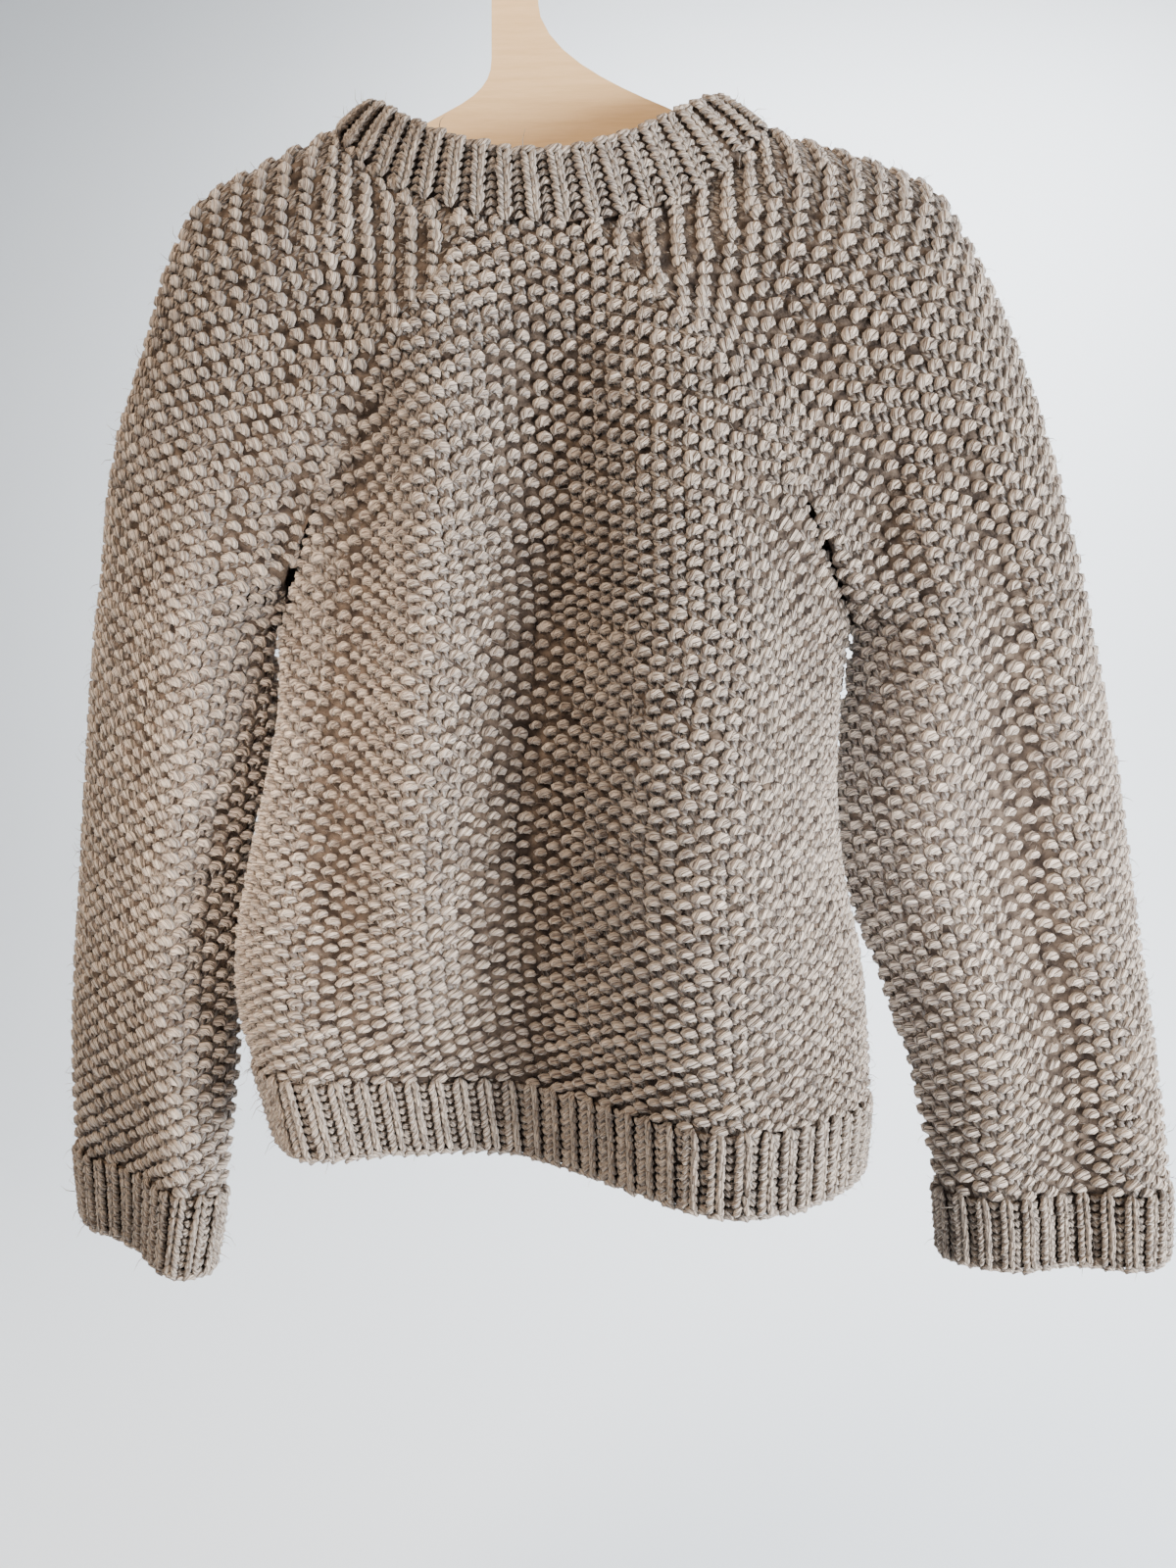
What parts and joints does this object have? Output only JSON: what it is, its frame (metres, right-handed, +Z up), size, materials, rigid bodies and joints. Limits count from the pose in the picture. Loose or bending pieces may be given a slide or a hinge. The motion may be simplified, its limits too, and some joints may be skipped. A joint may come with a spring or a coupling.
{
  "type": "sweater on a hanger",
  "caption": "Chunky seed-stitch raglan sweater with ribbed neck, hem and cuffs, hung on a flat plywood hanger with an open hook.",
  "frame": {"origin": "the point inside the hanger's hook that bears on its peg or rod", "axes": "+Z up; the sweater hangs below the origin and its near side, the one pictured, faces -Y; +X is to the viewer's right"},
  "size_m": [0.6352, 0.181, 0.786],
  "materials": {
    "knit": "matt oatmeal alpaca yarn",
    "rib": "matt oatmeal alpaca yarn",
    "plywood": "pale sanded birch plywood"
  },
  "bodies": {
    "root": {"hanger": "plywood", "panel_near": "knit", "panel_far": "knit", "sleeve_left": "knit", "sleeve_right": "knit", "neckband": "rib", "hem_rib": "rib", "cuff_left": "rib", "cuff_right": "rib"}
  },
  "joints": []
}
